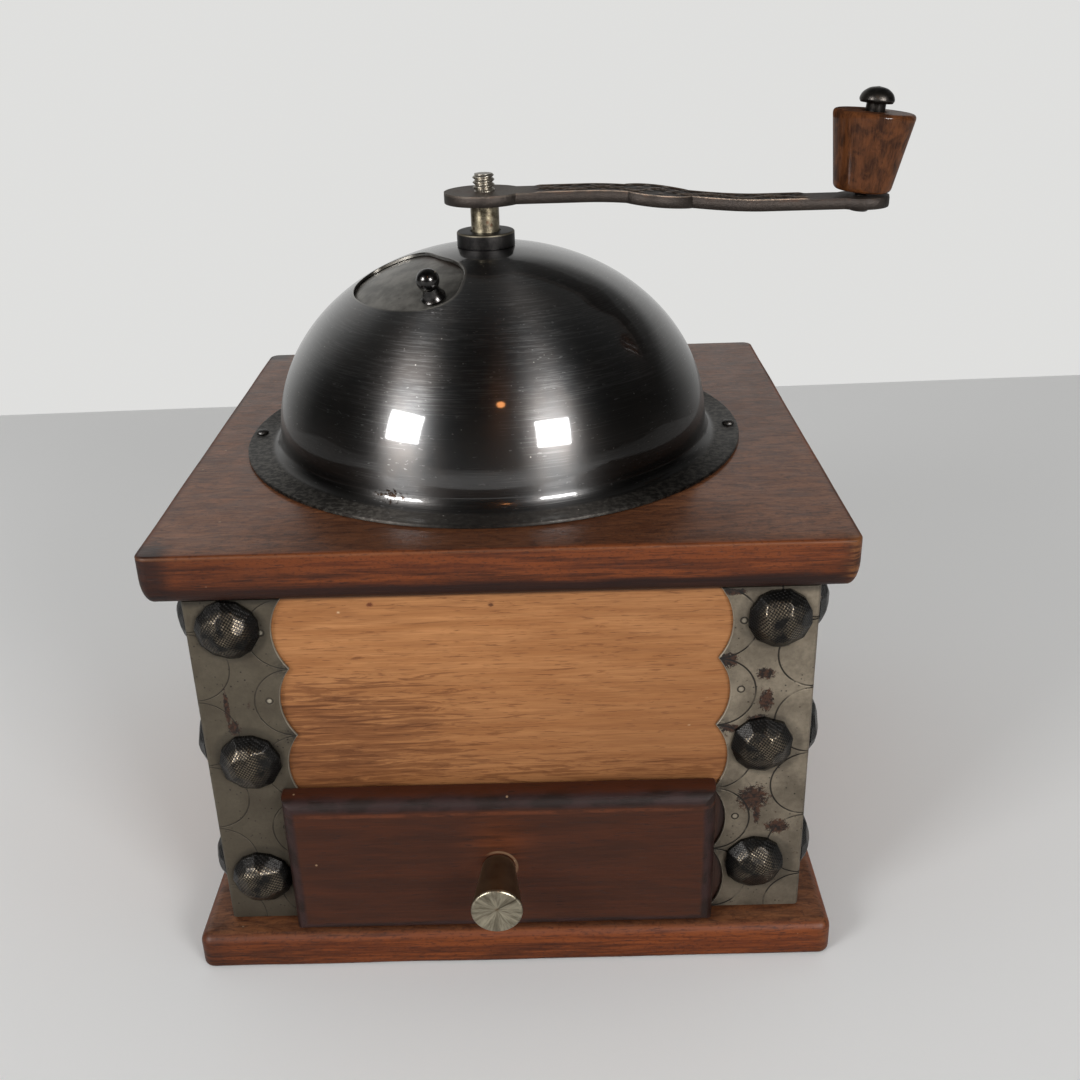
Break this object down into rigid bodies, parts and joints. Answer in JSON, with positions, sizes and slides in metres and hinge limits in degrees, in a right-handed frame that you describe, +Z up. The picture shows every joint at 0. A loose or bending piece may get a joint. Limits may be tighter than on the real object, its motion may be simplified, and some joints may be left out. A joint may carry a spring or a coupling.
{
  "type": "manual coffee grinder",
  "caption": "Hand-cranked box coffee mill: wooden box with a drawer, a domed metal hopper with a turning hatch, and a crank arm with a wooden grip.",
  "frame": {"origin": "middle of the base board's underside", "axes": "+Z up, -Y towards the drawer front, +X towards the crank's grip at rest"},
  "size_m": [0.193, 0.1861, 0.2106],
  "materials": {
    "stained_wood": "red-brown stain under worn satin varnish, grain along X",
    "grip_wood": "red-brown stain under gloss varnish, worn dark at the rim",
    "dark_wood": "dark mahogany stain under satin varnish",
    "pale_wood": "light tan wood with fine dark streaks under satin varnish",
    "inner_wood": "unfinished wood",
    "strap_steel": "dull grey sheet steel with rust specks",
    "nail_iron": "black wrought iron, textured facets",
    "dome_steel": "black-brown gunmetal, brushed round the dome",
    "black_steel": "blackened steel",
    "cast_iron": "raw dark casting",
    "arm_iron": "dark casting with worn relief",
    "bright_steel": "plated steel with small rust spots"
  },
  "bodies": {
    "root": {"base_board": "stained_wood", "top_board": "stained_wood", "front_panel": "pale_wood", "back_wall": "pale_wood", "left_wall": "pale_wood", "right_wall": "pale_wood", "left_stile": "dark_wood", "right_stile": "dark_wood", "left_drawer_guide": "inner_wood", "right_drawer_guide": "inner_wood", "corner_strap_front_left": "strap_steel", "corner_strap_front_right": "strap_steel", "corner_strap_back_left": "strap_steel", "corner_strap_back_right": "strap_steel", "nail_front_left_end_low": "nail_iron", "nail_front_left_side_low": "nail_iron", "nail_front_left_end_mid": "nail_iron", "nail_front_left_side_mid": "nail_iron", "nail_front_left_end_high": "nail_iron", "nail_front_left_side_high": "nail_iron", "nail_front_right_end_low": "nail_iron", "nail_front_right_side_low": "nail_iron", "nail_front_right_end_mid": "nail_iron", "nail_front_right_side_mid": "nail_iron", "nail_front_right_end_high": "nail_iron", "nail_front_right_side_high": "nail_iron", "nail_back_left_end_low": "nail_iron", "nail_back_left_side_low": "nail_iron", "nail_back_left_end_mid": "nail_iron", "nail_back_left_side_mid": "nail_iron", "nail_back_left_end_high": "nail_iron", "nail_back_left_side_high": "nail_iron", "nail_back_right_end_low": "nail_iron", "nail_back_right_side_low": "nail_iron", "nail_back_right_end_mid": "nail_iron", "nail_back_right_side_mid": "nail_iron", "nail_back_right_end_high": "nail_iron", "nail_back_right_side_high": "nail_iron", "mill_housing": "cast_iron", "grinding_ring": "cast_iron", "hopper_dome": "dome_steel", "dome_screw_1": "black_steel", "dome_screw_2": "black_steel", "dome_bush": "black_steel"},
    "thrust": {"thrust_ball": "bright_steel"},
    "adjuster": {"adjusting_screw": "bright_steel"},
    "crank": {"main_shaft": "bright_steel", "grinding_cone": "cast_iron", "crank_arm": "arm_iron", "handle_pin": "black_steel"},
    "grip": {"handle_grip": "grip_wood"},
    "hatch": {"hatch_cover": "dome_steel", "hatch_knob": "black_steel"},
    "drawer": {"drawer_front": "dark_wood", "drawer_left_side": "inner_wood", "drawer_right_side": "inner_wood", "drawer_back": "inner_wood", "drawer_floor": "inner_wood", "drawer_knob": "bright_steel"}
  },
  "joints": [
    {"name": "burr_lift", "type": "slide", "parent": "root", "child": "thrust", "axis": [0, 0, 1], "range_m": [-0.001, 0.0005]},
    {"name": "adjust_turn", "type": "hinge", "parent": "thrust", "child": "adjuster", "pos_m": [-0.003, -0.0021, 0.056], "axis": [0, 0, 1], "range_deg": [-360, 180]},
    {"name": "crank_turn", "type": "hinge", "parent": "thrust", "child": "crank", "pos_m": [-0.003, -0.0021, 0.1], "axis": [0, 0, 1], "continuous": true},
    {"name": "grip_spin", "type": "hinge", "parent": "crank", "child": "grip", "pos_m": [0.0967, -0.0021, 0.18473], "axis": [0.0958, 0, 0.9954], "continuous": true},
    {"name": "hatch_turn", "type": "hinge", "parent": "root", "child": "hatch", "pos_m": [-0.003, -0.0021, 0.172], "axis": [0, 0, 1], "range_deg": [-66, 0]},
    {"name": "drawer_slide", "type": "slide", "parent": "root", "child": "drawer", "axis": [0, -1, 0], "range_m": [0, 0.1]}
  ],
  "couplings": [
    {"joint": "adjust_turn", "follows": "burr_lift", "rad_per_m": 6283}
  ]
}
